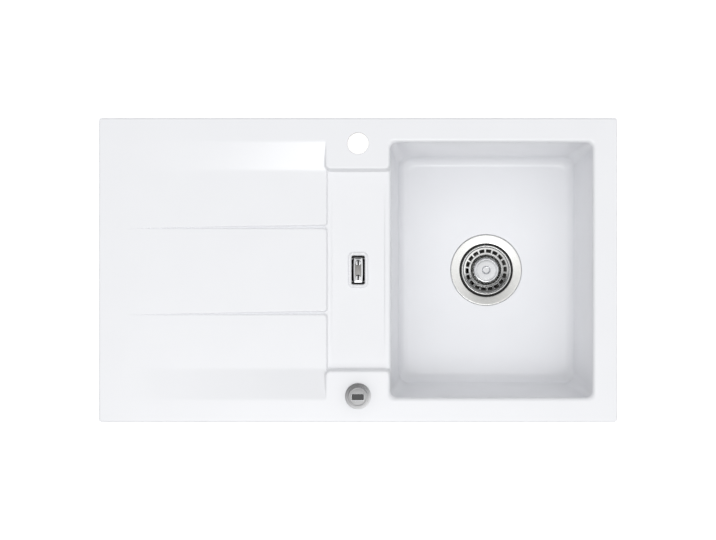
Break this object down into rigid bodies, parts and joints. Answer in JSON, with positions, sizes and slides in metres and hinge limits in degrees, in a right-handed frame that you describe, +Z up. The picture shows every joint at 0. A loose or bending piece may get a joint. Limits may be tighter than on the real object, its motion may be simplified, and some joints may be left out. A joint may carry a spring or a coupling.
{
  "type": "inset ceramic kitchen sink",
  "caption": "Inset white glazed ceramic kitchen sink with deep bowl, sloping grooved drainer, sunken overflow bridge, basket waste and rotary pop-up knob.",
  "frame": {"origin": "middle of the rim's underside, on the worktop's surface", "axes": "+X from drainer to bowl, +Y towards the tap hole, +Z up"},
  "size_m": [0.86, 0.505, 0.3359],
  "materials": {
    "ceramic_glaze": "white glazed fireclay, glossy",
    "stainless_steel": "pressed and polished stainless steel",
    "chrome_plate": "polished chrome plating",
    "black_rubber": "soft black sealing rubber",
    "white_plastic": "moulded white polypropylene",
    "black_plastic": "moulded black plastic",
    "brass": "turned brass",
    "plaque_enamel": "dark glossy inlay, bare"
  },
  "bodies": {
    "sink": {"sink_body": "ceramic_glaze", "waste_flange": "stainless_steel", "clamp_screw": "stainless_steel", "cover_screws": "stainless_steel", "overflow_plate": "chrome_plate", "overflow_screws": "chrome_plate", "control_base": "chrome_plate", "flange_seal": "black_rubber", "waste_gasket": "black_rubber", "overflow_seal": "black_rubber", "pipe_seals": "black_rubber", "shaft_seal": "black_rubber", "control_washer": "black_rubber", "waste_body": "white_plastic", "lever_cover": "white_plastic", "overflow_pipe": "white_plastic", "overflow_elbow": "white_plastic", "cross_pipe": "white_plastic", "pipe_nuts": "white_plastic", "overflow_head": "black_plastic", "control_housing": "black_plastic", "cable_sheath": "black_plastic", "control_nut": "brass", "cable_ferrules": "brass"},
    "control": {"control_knob": "chrome_plate", "knob_plaque": "plaque_enamel", "control_spindle": "brass", "cable_cam": "black_plastic"},
    "lever": {"lift_finger": "black_plastic", "lever_shaft": "stainless_steel", "crank_arm": "black_plastic"},
    "pin": {"lift_pin": "stainless_steel"},
    "basket": {"basket_shell": "stainless_steel", "basket_seal": "black_rubber", "basket_knob": "chrome_plate", "basket_stem": "stainless_steel"}
  },
  "joints": [
    {"name": "knob_turn", "type": "hinge", "parent": "sink", "child": "control", "pos_m": [0, -0.209, 0.02], "axis": [0, 0, -1], "range_deg": [0, 90]},
    {"name": "lever_tilt", "type": "hinge", "parent": "sink", "child": "lever", "pos_m": [0.19525, 0, -0.248], "axis": [0, -1, 0], "range_deg": [0, 19.85]},
    {"name": "pin_lift", "type": "slide", "parent": "sink", "child": "pin", "axis": [0, 0, 1], "range_m": [0, 0.00901]},
    {"name": "basket_lift", "type": "slide", "parent": "pin", "child": "basket", "axis": [0, 0, 1], "range_m": [0, 0.13]}
  ],
  "couplings": [
    {"joint": "lever_tilt", "follows": "knob_turn", "ratio": 0.22037},
    {"joint": "pin_lift", "follows": "knob_turn", "m_per_rad": 0.0057296}
  ]
}
